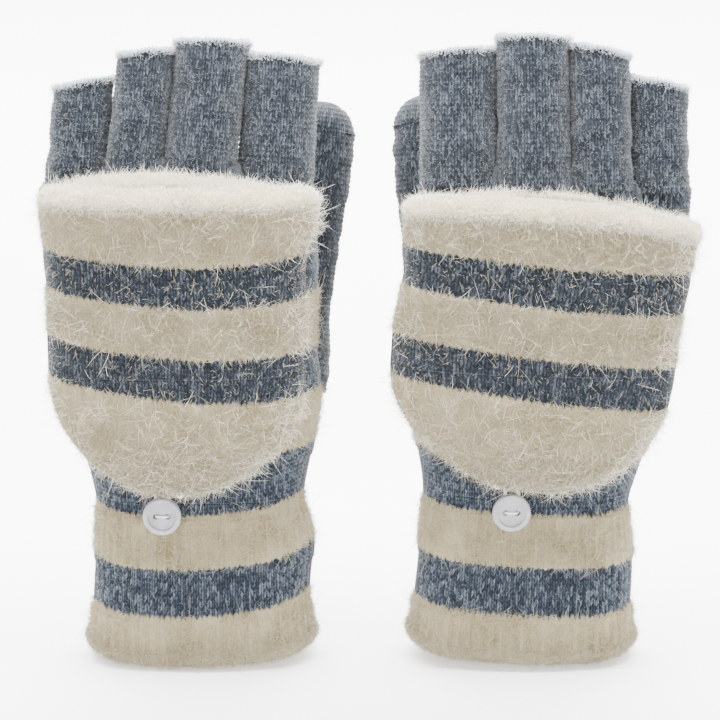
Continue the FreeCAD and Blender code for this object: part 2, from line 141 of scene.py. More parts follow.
def relief(points, stitches, closed, depth, rib=0.0):
    """Press the stitches into a smooth surface; rib is how much every second wale sinks."""
    u, v = stitches[:, : points.shape[1], 0], stitches[:, : points.shape[1], 1]
    sink = depth * (1 - stockinette(u, v)) + rib * (0.5 - 0.5 * np.cos(math.pi * (u - 0.5)))
    sink = sink * (1 + 0.25 * waves(points, 5, 11))
    return points - normals(points, closed) * sink[..., None]


def angora_share(height, blue_bands):
    """1 where the yarn at that many mm up is cream angora, 0 where it is blue."""
    share = np.ones_like(height)
    for low, high in blue_bands:
        share -= smooth((height - low + 0.7) / 1.4) * (1 - smooth((height - high + 0.7) / 1.4))
    return np.clip(share, 0, 1)


# ---------------------------------------------------------------- meshes

def add_mesh(name, points, faces, material, stitches=None):
    """A smooth-shaded mesh from points in the row frame, in mm, with a stitch count on corners.

    faces are arrays of corner numbers, one array for each number of corners."""
    mesh = bpy.data.meshes.new(name)
    sizes = np.concatenate([np.full(len(some), some.shape[1]) for some in faces])
    mesh.vertices.add(len(points))
    mesh.vertices.foreach_set("co", (points * MM).ravel())
    mesh.loops.add(int(sizes.sum()))
    mesh.loops.foreach_set("vertex_index", np.concatenate([some.ravel() for some in faces]))
    mesh.polygons.add(len(sizes))
    mesh.polygons.foreach_set("loop_start", np.cumsum(sizes) - sizes)
    mesh.polygons.foreach_set("use_smooth", np.ones(len(sizes), bool))
    if stitches is not None:
        layer = mesh.uv_layers.new(name="knit")
        layer.data.foreach_set("uv", stitches.astype(np.float32).ravel())
    mesh.materials.append(material)
    mesh.update(calc_edges=True)
    obj = bpy.data.objects.new(name, mesh)
    bpy.context.scene.collection.objects.link(obj)
    return obj


def skin(name, outer, inner, stitches, closed, material):
    """One closed piece of fabric between an outer and an inner grid of points.

    A closed grid's last column is joined to its first, and stitches has one column more."""
    points = np.concatenate([outer, inner[::-1]])
    counts = np.concatenate([stitches, stitches[::-1]])
    rows, columns = points.shape[:2]
    i = np.arange(rows)[:, None]
    j = np.arange(columns if closed else columns - 1)[None, :]
    up = (i + 1) % rows
    beside = (j + 1) % columns
    corners = [(i, j), (i, beside), (up, beside), (up, j)]
    faces = np.stack([np.broadcast_to(a * columns + b, (rows, j.shape[1])) for a, b in corners], -1)
    uv = [counts[a, b] for a, b in [(i, j), (i, j + 1), (up, j + 1), (up, j)]]
    uv = np.stack([np.broadcast_to(x, (rows, j.shape[1], 2)) for x in uv], 2)
    faces, uv = faces.reshape(-1, 4), uv.reshape(-1, 4, 2)
    cut = np.isin(np.repeat(np.arange(rows), j.shape[1]), (rows // 2 - 1, rows - 1))
    if not closed:
        half = rows // 2
        k = np.arange(half - 1)
        for column, turned in ((0, False), (columns - 1, True)):
            edge = np.stack([k, k + 1, rows - 2 - k, rows - 1 - k], -1)
            edge = edge[:, ::-1] if turned else edge
            faces = np.concatenate([faces, edge * columns + column])
            uv = np.concatenate([uv, counts[edge, column]])
            cut = np.concatenate([cut, np.ones(len(edge), bool)])
    obj = add_mesh(name, points.reshape(-1, 3), [faces], material, uv)
    obj.data.polygons.foreach_set("use_smooth", ~cut)
    return obj


def tube(path, radius, sides=8):
    """Points and faces of a closed round tube along a path; radius is a number or one a point."""
    path = np.asarray(path, float)
    along = np.gradient(path, axis=0)
    along /= np.linalg.norm(along, axis=1, keepdims=True)
    side = np.cross(along[0], (0.3, 0.5, 0.81))
    frames = []
    for direction in along:
        side = side - direction * (side @ direction)
        side /= np.linalg.norm(side)
        frames.append((side, np.cross(direction, side)))
    frames = np.array(frames)
    turn = np.arange(sides) * TAU / sides
    turn = np.stack([np.cos(turn), np.sin(turn)])
    ring = np.einsum("ijk,jl->ilk", frames, turn)
    points = path[:, None] + ring * np.broadcast_to(radius, len(path))[:, None, None]
    i = np.arange(len(path) - 1)[:, None] * sides
    j = np.arange(sides)[None, :]
    quads = np.stack([i + j, i + (j + 1) % sides, i + sides + (j + 1) % sides, i + sides + j], -1)
    last = (len(path) - 1) * sides
    ends = np.array([np.arange(sides)[::-1], np.arange(last, last + sides)])
    return points.reshape(-1, 3), [quads.reshape(-1, 4), ends]


def joined(parts):
    """Several (points, faces) as one."""
    points, faces, start = [], [], 0
    for some, around in parts:
        points.append(some)
        faces += [corners + start for corners in around]
        start += len(some)
    return np.concatenate(points), faces


# ---------------------------------------------------------------- fuzz

class Fuzz:
    """Loose fibres that stand on surfaces, gathered into one mesh for each colour and part."""

    FEWER = 0.35

    def __init__(self, glove, seed):
        self.glove = glove
        self.rng = np.random.default_rng(seed)
        self.parts = []

    def stray(self, points, number, length, keep=None, pull=(0, 0, 0)):
        """Long loose hairs that lie over the stripes."""
        self.grow(points, number, length, keep, pull, 2.2, 0.055, 0.5, 5)

    def grow(self, points, number, length, keep=None, pull=(0, 0, 0), lean=1.1, thick=0.07,
             curl=0.45, links=2):
        """Scatter fibres over a grid of points; keep is a grid of how likely one is there."""
        rng = self.rng
        number = int(number * (1.0))
        normal = normals(points, False)
        rows, columns = points.shape[:2]
        i = rng.uniform(0, rows - 1.001, number)
        j = rng.uniform(0, columns - 1.001, number)
        a, b = i.astype(int), j.astype(int)
        s, t = (i - a)[:, None], (j - b)[:, None]
        low = points[a, b] * (1 - t) + points[a, b + 1] * t
        high = points[a + 1, b] * (1 - t) + points[a + 1, b + 1] * t
        root = low * (1 - s) + high * s
        out = normal[a, b]
        right = np.linalg.norm(out, axis=1) > 0.5
        if keep is not None:
            right &= rng.uniform(size=number) < keep[a, b]
        root, out = root[right], out[right]
        count = len(root)
        aim = out + rng.normal(size=(count, 3)) * 0.55 * lean + np.array(pull)
        aim += out * np.maximum(0.15 - (aim * out).sum(1, keepdims=True), 0)
        aim /= np.linalg.norm(aim, axis=1, keepdims=True)
        bend = rng.normal(size=(count, 3)) * curl
        bend -= out * np.minimum((bend * out).sum(1, keepdims=True) + 0.3, 0.6)
        long = (length * rng.uniform(0.5, 1.3, count))[:, None]
        side = np.cross(aim, rng.normal(size=(count, 3)))
        side /= np.linalg.norm(side, axis=1, keepdims=True)
        other = np.cross(aim, side)
        rings = []
        for link in range(links):
            share = link / links
            centre = root + (aim * share + bend * share**2) * long - out * 0.25 * (link == 0)
            for turn in (0, TAU / 3, 2 * TAU / 3):
                around = side * math.cos(turn) + other * math.sin(turn)
                rings.append(centre + around * thick * (1 - 0.45 * share))
        self.parts.append(np.stack(rings + [root + (aim + bend) * long], 1))

    def build(self, name, material):
        triangles, quads, start = [], [], 0
        for part in self.parts:
            count, corners = part.shape[:2]
            first = start + np.arange(count)[:, None, None] * corners
            tip = corners - 1
            ends = [(2, 1, 0), (tip - 3, tip - 2, tip), (tip - 2, tip - 1, tip), (tip - 1, tip - 3, tip)]
            walls = [(k, k + 1, k + 4, k + 3) if k % 3 < 2 else (k, k - 2, k + 1, k + 3)
                     for k in range(tip - 3)]
            triangles.append((first + np.array(ends)).reshape(-1, 3))
            quads.append((first + np.array(walls)).reshape(-1, 4))
            start += count * corners
        points = np.concatenate([part.reshape(-1, 3) for part in self.parts])
        faces = [np.concatenate(triangles), np.concatenate(quads)]
        slot = "heather_knit" if "blue" in name else "angora"
        return self.glove.piece(name, points, faces, material, slot)


# ---------------------------------------------------------------- materials

class Signal:
    """A number in a material, on which + - * make nodes."""

    def __init__(self, shader, socket):
        self.shader, self.socket = shader, socket

    def __add__(self, other):
        return self.shader.math("ADD", self, other)

    def __sub__(self, other):
        return self.shader.math("SUBTRACT", self, other)

    def __rsub__(self, other):
        return self.shader.math("SUBTRACT", other, self)

    def __mul__(self, other):
        return self.shader.math("MULTIPLY", self, other)


class Shader:
    """A node material with one Principled shader and short ways to add nodes to it."""

    def __init__(self, name, **values):
        self.material = bpy.data.materials.new(name)
        self.material.use_nodes = True
        self.tree = self.material.node_tree
        self.inputs = self.tree.nodes["Principled BSDF"].inputs
        for socket, value in values.items():
            self.put(self.inputs[socket.replace("_", " ")], value)

    def put(self, target, value):
        value = value.socket if isinstance(value, Signal) else value
        if isinstance(value, bpy.types.NodeSocket):
            self.tree.links.new(value, target)
        else:
            target.default_value = value

    def node(self, kind, inputs=(), output=0, **settings):
        """Add a node and give one of its outputs."""
        made = self.tree.nodes.new("ShaderNode" + kind)
        for name, value in settings.items():
            setattr(made, name, value)
        for key, value in dict(inputs).items():
            self.put(made.inputs[key], value)
        return Signal(self, made.outputs[output])

    def math(self, operation, *values, clamp=False):
        return self.node("Math", enumerate(values), operation=operation, use_clamp=clamp)

    def join(self, x, y):
        return self.node("CombineXYZ", {"X": x, "Y": y})

    def place(self):
        return self.node("NewGeometry", output="Position")

    def random(self, vector):
        return self.node("TexWhiteNoise", {"Vector": vector}, "Value", noise_dimensions="2D")

    def noise(self, vector, scale, detail=2.0, rough=0.5):
        inputs = {"Vector": vector, "Scale": scale, "Detail": detail, "Roughness": rough}
        return self.node("TexNoise", inputs, "Fac")

    def ramp(self, factor, stops):
        colours = self.node("ValToRGB", {"Fac": factor}, "Color")
        elements = colours.socket.node.color_ramp.elements
        while len(elements) < len(stops):
            elements.new(1.0)
        for element, (position, colour) in zip(elements, stops):
            element.position = position
            element.color = (*colour, 1)
        return colours

    def blend(self, kind, factor, a, b):
        made = self.tree.nodes.new("ShaderNodeMix")
        made.data_type = "RGBA"
        made.blend_type = kind
        for socket, value in (("Factor", factor), ("A", a), ("B", b)):
            self.put(made.inputs[socket], value)
        return Signal(self, made.outputs["Result"])

    def bump(self, height, strength, distance):
        inputs = {"Height": height, "Strength": strength, "Distance": distance}
        self.put(self.inputs["Normal"], self.node("Bump", inputs))


def knit_material(name, blue_bands, cream=True, cream_tone=1.0, blue_tone=1.0):
    """Yarn that changes colour from stitch to stitch: cream angora with slate-blue heather in
    the blue bands, or all heather where cream is False."""
    s = Shader(name, Roughness=0.92, Sheen_Weight=0.22, Sheen_Roughness=0.55, Specular_IOR_Level=0.15)
    count = s.node("UVMap", (), "UV", uv_map="knit")
    split = s.tree.nodes.new("ShaderNodeSeparateXYZ")
    s.put(split.inputs["Vector"], count)
    u, v = Signal(s, split.outputs["X"]), Signal(s, split.outputs["Y"])
    side = s.math("ABSOLUTE", s.math("FRACT", u) - 0.5) * 2.0
    course = v - side * 0.9
    leg = s.math("FLOOR", u * 2.0)
    random = s.random(s.join(leg, s.math("FLOOR", course)))
    fibres = s.noise(s.join(u * 6.5, course * 2.0), 1.0, 2.0, 0.7)
    shade = s.math("SUBTRACT", random * 0.52 + fibres * 0.95, 0.25, clamp=True)
    heather = s.ramp(shade, [
        (0.10, (0.006, 0.011, 0.020)), (0.34, (0.021, 0.032, 0.051)), (0.56, (0.058, 0.077, 0.104)),
        (0.74, (0.170, 0.200, 0.238)), (0.88, (0.370, 0.385, 0.400)), (0.97, (0.580, 0.520, 0.490))])
    # Painted shade: the colour is darkened in the hollows between the yarn's legs and courses, where
    # shade falls.
    ridge = 1.0 - s.math("POWER", s.math("ABSOLUTE", side - 0.5), 1.6) * 3.03
    turn = s.math("MULTIPLY_ADD", s.math("COSINE", course * TAU), 0.3, 0.7)
    hollow = ridge * turn
    painted_groove_shade = s.ramp(hollow, [(0.0, (0.12, 0.13, 0.16)), (0.4, (0.64, 0.65, 0.68)), (0.75, (1, 1, 1))])
    heather = s.blend("MULTIPLY", 1.0, heather, painted_groove_shade)
    if blue_tone != 1.0:
        heather = s.blend("MULTIPLY", 1.0, heather, (blue_tone, blue_tone, blue_tone, 1))

    place = s.place()
    patches = s.ramp(s.noise(place, 90.0, 3.0, 0.6), [
        (0.3, (0.205, 0.165, 0.085)), (0.5, (0.30, 0.255, 0.148)), (0.72, (0.39, 0.345, 0.222))])
    # Painted shade: the cream is darkened where the yarn sinks between stitches.
    soft = s.ramp(hollow, [(0.0, (0.80, 0.77, 0.72)), (0.6, (1, 1, 1))])
    angora = s.blend("MULTIPLY", 0.55, patches, soft)
    # cream_tone scales the cream's colour; at 2.3 it is a painted highlight.
    if cream_tone != 1.0:
        angora = s.blend("MULTIPLY", 1.0, angora, (cream_tone, cream_tone, cream_tone * 1.04, 1))

    ragged = s.random(s.join(leg, 3.7)) * 0.6 + fibres * 1.1
    edge = v + ragged - side * 0.55
    share = 1.0 if cream else 0.0
    sign = -1.0
    for height in [height for band in blue_bands for height in band if height < TOO_HIGH]:
        passed = s.math("MULTIPLY_ADD", edge - (height / COURSE + 0.6), 1.8, 0.5, clamp=True)
        share = s.math("MULTIPLY_ADD", passed, sign, share)
        sign = -sign
    s.put(s.inputs["Base Color"], s.blend("MIX", share, heather, angora))
    fluff = s.noise(place, 2600.0, 3.0, 0.7)
    s.bump(hollow * 0.5 + fluff * 0.5, 0.55, 0.0004)
    return s.material


def fibre_material(name, colour):
    """One loose fibre's finish: even in colour, soft and slightly glowing at its edges."""
    s = Shader(name, Base_Color=(*colour, 1), Roughness=0.85, Sheen_Weight=0.35, Sheen_Roughness=0.5,
               Subsurface_Weight=0.15, Subsurface_Radius=(0.001, 0.001, 0.001))
    return s.material


def thread_material(name, low, high):
    """Sewing thread or cord with a fine twist along it."""
    s = Shader(name, Roughness=0.7, Sheen_Weight=0.2)
    grain = s.noise(s.place(), 2500.0, 3.0, 0.6)
    s.put(s.inputs["Base Color"], s.ramp(grain, [(0.3, low), (0.7, high)]))
    s.bump(grain, 0.5, 0.0002)
    return s.material


def resin_material():
    """Frosted, slightly lilac resin, cloudy inside and a little rubbed."""
    s = Shader("frosted_resin", Coat_Weight=0.25, Coat_Roughness=0.25,
               Subsurface_Weight=0.6, Subsurface_Radius=(0.0025, 0.0022, 0.0026))
    place = s.place()
    cloud = s.noise(place, 260.0, 3.0, 0.6)
    s.put(s.inputs["Base Color"], s.ramp(cloud, [
        (0.3, (0.26, 0.25, 0.27)), (0.6, (0.33, 0.32, 0.34)), (0.8, (0.42, 0.41, 0.43))]))
    rubbed = s.noise(place, 1800.0, 4.0, 0.6)
    s.put(s.inputs["Roughness"], s.math("MULTIPLY_ADD", rubbed, 0.3, 0.25))
    s.bump(rubbed, 0.15, 0.0002)
    return s.material


MATERIALS = {
    "sleeve": knit_material("striped_sleeve_knit", SLEEVE_BLUE, blue_tone=0.7),
    "cap": knit_material("striped_cap_knit", CAP_BLUE, blue_tone=0.4),
    # A lighter copy of the cream knit for the rim roll and the hinge folds at the cap's top: painted
    # highlight where the top light falls.
    "cream": knit_material("lit_cream_knit_painted_highlight", [], cream_tone=2.3),
    "blue": knit_material("heather_knit", [], False, blue_tone=0.4),
    "cream_hair": fibre_material("cream_angora_hair", (0.39, 0.335, 0.21)),
    # Pale hair: the stray fibres' own pale colour, and on the rim roll and hinge folds a painted
    # highlight as well.
    "pale_hair_and_painted_highlight": fibre_material("pale_angora_hair_and_painted_highlight", (0.93, 0.87, 0.72)),
    "blue_hair": fibre_material("slate_hair", (0.12, 0.138, 0.165)),
    "frayed": fibre_material("frayed_yarn", (0.52, 0.55, 0.60)),
    "edging": thread_material("overlock_thread", (0.30, 0.35, 0.42), (0.62, 0.66, 0.71)),
    "elastic": thread_material("elastic_cord", (0.74, 0.73, 0.70), (0.90, 0.89, 0.87)),
    "thread": thread_material("sewing_thread", (0.70, 0.69, 0.68), (0.88, 0.87, 0.86)),
    "resin": resin_material(),
}


# ---------------------------------------------------------------- one glove's frame and sizes

class Glove:
    """A glove's own frame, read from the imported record, and what the pieces share."""

    THUMB_FOOT = (24.0, 8.0, 84.0)  # across, back and height of the thumb's root
    ROWS_UP = 118.0  # above this the sections lean with the fingers

    def __init__(self, name, **looks):
        self.name = name
        self.body = name + "_glove"
        self.looks = looks
        mounts = {m["name"]: m for m in record["mounts"]}
        joints = {j["name"]: j for j in record["behaviour"]["joints"]}
        opening = mounts[name + "_hand_opening"]
        flip = joints[name + "_cap_flip"]
        self.origin = np.array(opening["pos_m"]) / MM
        up = -np.array(opening["axis"])
        across = -np.array(flip["axis"])
        self.axes = np.array([across, np.cross(up, across), up])
        self.hinge = self.local(np.array(flip["pos_m"]) / MM)
        middle = self.axes @ np.array(mounts[name + "_middle_opening"]["axis"])
        self.tilt = math.atan2(middle[1], middle[2])
        tilted = np.array([0, math.sin(self.tilt), math.cos(self.tilt)])
        self.fingers = {}
        for finger in FINGERS:
            bore = mounts["%s_%s_opening" % (name, finger)]
            middle = self.local(np.array(bore["pos_m"]) / MM)
            axis = self.axes @ np.array(bore["axis"])
            down = (middle - self.hinge) @ tilted / (axis @ tilted)
            reach = down + bore["dims"]["length_mm"] / 2
            self.fingers[finger] = (middle - axis * down, axis, bore["dims"]["r_mm"] + 2.2, reach)
        self.side = math.copysign(1, self.fingers["index"][0][0] - self.fingers["little"][0][0])

    def local(self, point):
        return (point - self.origin) @ self.axes.T

    def place(self, points):
        return self.origin + points @ self.axes

    def points(self, node):
        mesh = frame["nodes"]["%s_%s" % (self.name, node)].data
        return self.local(np.array([v.co for v in mesh.vertices]) / MM)

    def row(self, point):
        return (self.place(np.array(point, float)) * MM).tolist()

    def piece(self, name, points, faces, material, slot, *nodes, stitches=None):
        """Add a mesh to this glove, in the place of the CAD nodes named."""
        name = "%s_%s" % (self.name, name)
        obj = add_mesh(name, self.place(points), faces, MATERIALS[material], stitches)
        return self.claim(obj, nodes)

    def knit(self, name, outer, inner, stitches, closed, material, slot, *nodes):
        """Add a piece of fabric to this glove, in the place of the CAD nodes named."""
        name = "%s_%s" % (self.name, name)
        obj = skin(name, self.place(outer), self.place(inner), stitches, closed, MATERIALS[material])
        return self.claim(obj, nodes)

    def claim(self, obj, nodes):
        if nodes:
            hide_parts(*["%s_%s" % (self.name, node) for node in nodes])
        return obj

    def section(self, node, z, band=0.6):
        """Half width, half depth and centre x of a node's outline at a height."""
        near = self.points(node)
        near = near[np.abs(near[:, 2] - z) < band]
        low, high = near.min(0), near.max(0)
        return (high[0] - low[0]) / 2, (high[1] - low[1]) / 2, (high[0] + low[0]) / 2


# ---------------------------------------------------------------- cuff and hand

class Sleeve:
    """The cuff and hand of one glove as one surface, cut into hem, cuff and hand pieces."""

    WALES = 106
    WALL = 2.0
    GROOVE = 4.2  # how far the knit sinks between two finger roots

    def __init__(self, glove):
        self.glove = glove
        self.tan = math.tan(glove.tilt)
        self.top = glove.hinge[2] + 1.2
        foot = glove.section("cuff", 5)
        wrist = glove.section("cuff", glove.points("cuff")[:, 2].max())
        palm = glove.section("hand", 82)
        knuckle = glove.section("hand", glove.ROWS_UP)
        self.heights = (5, 52, 82, glove.ROWS_UP, self.top)
        self.widths = (foot[0], wrist[0], palm[0], knuckle[0], knuckle[0])
        self.depths = (foot[1], wrist[1], palm[1], knuckle[1], knuckle[1])
        self.crowns = (98, 98, 137, 137, 137)
        self.middles = (foot[2], wrist[2], palm[2], knuckle[2], glove.hinge[0])
        self.roots = sorted((root[0], root[1], radius)
                            for root, _, radius, _ in glove.fingers.values())

    def at(self, values, level):
        """A section size at a level, rounded where the sections meet."""
        return np.mean([np.interp(level + k, self.heights, values) for k in (-7, -3.5, 0, 3.5, 7)])

    def finger_row(self, x, shrink):
        """Depth of the row of finger roots, front and rear, at each x."""
        centres, middles, radii = np.array(self.roots).T
        radii = radii + 0.1 - shrink
        half = radii[:, None] ** 2 - (x[None] - centres[:, None]) ** 2
        half = np.sqrt(np.maximum(half, 0))
        front = np.where(half > 0, middles[:, None] - half, 99).min(0)
        rear = np.where(half > 0, middles[:, None] + half, -99).max(0)
        front_limit = np.interp(x, centres, middles - radii) + self.GROOVE
        rear_limit = np.interp(x, centres, middles + radii) - self.GROOVE
        inside = (x > centres[0]) & (x < centres[-1])
        front = np.where(inside, np.minimum(front, front_limit), front)
        rear = np.where(inside, np.maximum(rear, rear_limit), rear)
        ends = np.interp(x, centres, middles)
        return np.where(front > 90, ends, front), np.where(rear < -90, ends, rear)

    def rings(self, levels, shrink=0.0):
        """Rings of points round the hand at each level, moved inwards by shrink."""
        glove = self.glove
        low = self.roots[0][0] - self.roots[0][2]
        high = self.roots[-1][0] + self.roots[-1][2]
        rows = []
        for level in levels:
            width, depth, crown, middle = (self.at(v, level) for v in (
                self.widths, self.depths, self.crowns, self.middles))
            x, y = oval(width - shrink, depth - shrink, crown - shrink, self.WALES * STEPS)
            share = smooth((level - self.top + 17) / 17)
            reach = (high - low) / 2 - shrink
            x_top = (high + low) / 2 + x * reach / (width - shrink)
            front, rear = self.finger_row(x_top, shrink)
            y_top = np.where(y < 0, front, rear)
            x = mix(x + middle, x_top, share)
            y = mix(y, y_top, share**1.5)
            lean = smooth((level - glove.ROWS_UP) / (self.top - glove.ROWS_UP))
            rows.append(np.stack([x, y, level - lean * self.tan * (y - glove.hinge[1])], 1))
        points = np.array(rows)
        slack = smooth(levels / 60)[:, None] * waves(points * (1, 1, 1.6), 46, 21)
        hem = 1.0 * np.exp(-((levels - 3.2) / 2.6) ** 2)
        tuck = 1.6 * (1 - np.sqrt(1 - np.clip(1 - levels / 1.8, 0, 1) ** 2))
        fold = 0.9 * smooth((levels - self.top + 2) / 2)
        out = 0.7 * slack * (1 - smooth((levels - self.top + 14) / 10))[:, None]
        out += (0.5 * angora_share(levels, SLEEVE_BLUE) * smooth(levels / 4))[:, None]
        out += (hem - tuck - fold)[:, None]
        side = points[:, :, 0] * glove.side
        out += 1.6 * np.exp(-((levels[:, None] - 77) / 15) ** 2) * smooth(side / 34)
        out += glove.looks["cuff_side"] * np.exp(-((levels[:, None] - 38) / 10) ** 2) * smooth(side / 30)
        points = points + normals(points, True) * out[..., None]
        x = points[:, :, 0] / 34
        lift = glove.looks["hem_round"] * x**4 + glove.looks["hem_rise"] * np.maximum(x, 0)
        points[:, :, 2] += lift * (1 - smooth(levels / 14))[:, None]
        return points

    def stitches(self, points, levels):
        """Columns round the hand and courses up it, with the slant that the photo's rows have."""
        columns = np.arange(self.WALES * STEPS + 1) / STEPS
        across = np.concatenate([points[:, :, 0], points[:, :1, 0]], 1)
        slant = math.tan(math.radians(self.glove.looks["cuff_slant"]))
        slant = slant * (1 - smooth((levels - 75) / 30)) * smooth(levels / 14)
        front = np.concatenate([points[:, :, 1], points[:, :1, 1]], 1) < 0
        bow = self.glove.looks["cuff_bow"] * (1 - smooth((levels - 60) / 25)) * smooth(levels / 10)
        sag = bow[:, None] * np.clip((across / 30) ** 2 - 0.25, -0.25, 1)
        rise = self.glove.looks["cuff_rise"] * (1 - smooth((levels - 62) / 20))
        courses = levels + np.where(front, -sag, 0.0).T - rise + (slant[:, None] * across).T
        courses = courses.T / COURSE
        return np.stack([np.broadcast_to(columns, courses.shape), courses], 2)

    def build(self):
        glove = self.glove
        pieces = (("hem", 0.0, 5.0, "angora", ["cuff_welt"]), ("cuff", 5.0, 52.0, "angora", ["cuff"]),
                  ("hand", 52.0, self.top, "heather_knit", ["hand", "knuckles"]))
        levels = np.linspace(0, self.top, int(round(self.top / COURSE * STEPS)))
        outer = self.rings(levels)
        self.surface = np.concatenate([outer, outer[:, :1]], 1)
        stitches = self.stitches(outer, levels)
        self.angora = angora_share(stitches[:, :, 1] * COURSE, SLEEVE_BLUE)
        rib = 0.75 * (1 - smooth((levels - 40) / 16)) * smooth((levels - 1) / 6)
        depth = mix(0.6, 0.26, self.angora[:, :-1])
        carved = relief(outer, stitches, True, depth, rib[:, None])
        inner = self.rings(levels, self.WALL)
        for name, low, high, slot, nodes in pieces:
            pick = (levels >= low - 0.2) & (levels <= high + 0.2)
            obj = glove.knit(name + "_knit", carved[pick], inner[pick], stitches[pick], True,
                             "sleeve", slot, *nodes)
            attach(obj, glove.body)


def tube_knit(glove, name, path, radii, wales, seed, closed_tip=False, slope=0.0):
    """A knitted tube along a path: a relief outside, a plain inside and a rounded or open end.

    slope is how much the open end rises for each mm to the right."""
    wall = 1.9
    along = np.gradient(path, axis=0)
    along /= np.linalg.norm(along, axis=1, keepdims=True)
    run = np.concatenate([[0], np.cumsum(np.linalg.norm(np.diff(path, axis=0), axis=1))])
    left = run[-1] - run
    across = np.array([1.0, 0, 0]) - along * along[:, :1]
    across /= np.linalg.norm(across, axis=1, keepdims=True)
    back = np.cross(along, across)
    turn = np.arange(wales * STEPS) * TAU / (wales * STEPS) + math.pi / 2
    ring = across[:, None] * np.cos(turn)[None, :, None] + back[:, None] * np.sin(turn)[None, :, None]
    late = slope * smooth((16 - left) / 16)
    ring = ring + along[:, None] * (late[:, None] * np.cos(turn))[..., None]
    surface = path[:, None] + ring * radii[:, None, None]
    out = 0.35 * waves(surface * (1, 1, 2.2), 17, seed)
    calm = np.minimum(smooth((radii - 2) / 4), 1)
    surface = surface + ring * (out * calm[:, None])[..., None]
    columns = np.arange(wales * STEPS + 1) / STEPS
    stitches = np.stack(np.broadcast_arrays(columns[None], run[:, None] / COURSE + 7 * seed), 2)
    carved = relief(surface, stitches, True, 0.55 * calm[:, None])
    inner = path[:, None] + ring * np.maximum(radii - wall, 0.05)[:, None, None]
    if closed_tip:
        inner = inner - along[:, None] * (wall * smooth((8 - left) / 8))[:, None, None]
    node = name if closed_tip else name + "_finger"
    obj = glove.knit(name + "_knit", carved, inner, stitches, True, "blue", "heather_knit", node)
    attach(obj, glove.body)
    return surface


def make_fingers(glove):
    """Finger tubes with the overlocked thread round each open end."""
    surfaces = []
    for number, (finger, (root, axis, radius, reach)) in enumerate(glove.fingers.items()):
        run = np.arange(-2.4, reach - 0.4, COURSE / STEPS)
        base, end, grown, slope = glove.looks[finger]
        path = root + axis * run[:, None]
        path[:, 0] += mix(base, end, run / reach)
        radius = radius + grown
        shape = radius - 0.15 * np.sin(math.pi * run / reach)
        wales = int(round(TAU * radius / WALE))
        surfaces.append(tube_knit(glove, finger, path, shape, wales, 3 + number, slope=slope))
        make_edging(glove, finger, root + (end, 0, 0) + axis * (reach - 0.75), axis, radius - 0.9, slope)
    return surfaces


def make_edging(glove, finger, centre, axis, radius, slope):
    """Thread wound over a finger's cut edge, with a soft core, on an end that may slope."""
    across = np.cross((0, 1, 0), axis)
    across /= np.linalg.norm(across)
    back = np.cross(axis, across)
    wraps = int(radius * TAU / 1.05)
    rng = np.random.default_rng(int(radius * 100))
    turn = np.linspace(0, TAU, wraps * 10, endpoint=False)
    loose = np.interp(turn, np.linspace(0, TAU, wraps), rng.uniform(0.55, 1.45, wraps), period=TAU)
    phase = turn * wraps + 0.5 * np.sin(turn * 5)
    out = radius + (0.75 + 0.1 * np.sin(turn * 3)) * np.cos(phase)
    up = 0.85 * loose * np.sin(phase) + 0.25 * np.sin(turn * 4 + 1)
    ring = across[None] * np.cos(turn)[:, None] + back[None] * np.sin(turn)[:, None]
    ring = ring + axis * (slope * np.cos(turn))[:, None]
    coil = centre + ring * out[:, None] + axis * up[:, None]
    core = centre + ring * radius + axis * (0.2 * np.sin(turn * 4 + 1))[:, None]
    points, faces = joined([tube(coil, 0.26, 5), tube(core[::6], 0.6, 8)])
    obj = glove.piece(finger + "_overlock", points, faces, "edging", "edging", finger + "_edging")
    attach(obj, glove.body)


def make_thumb(glove):
    """The thumb: a knitted tube with a gathered, rounded tip, flared where it leaves the hand."""
    points = glove.points("thumb")
    low, high = points.min(0), points.max(0)
    radius = 9.6
    x = high[0] - radius if glove.side > 0 else low[0] + radius
    tip = np.array([x, high[1] - radius, high[2] - radius])
    foot = np.array(glove.THUMB_FOOT) * (glove.side, 1, 1)
    length = np.linalg.norm(tip - foot)
    run = np.arange(-2.0, length + radius - 0.15, COURSE / STEPS)
    share = run / length
    path = foot + (tip - foot) * share[:, None]
    path[:, 0] += glove.side * 2.4 * (np.sin(math.pi * np.clip(share, 0, 1)) + smooth(share * 2 - 1))
    end = np.clip((run - length) / radius, 0, 1)
    radii = (radius + 0.8) * np.sqrt(1 - end**2)
    radii = np.maximum(radii + 4.5 * (1 - smooth(run / 30)), 0.6)
    return tube_knit(glove, "thumb", path, radii, 33, 9, closed_tip=True)


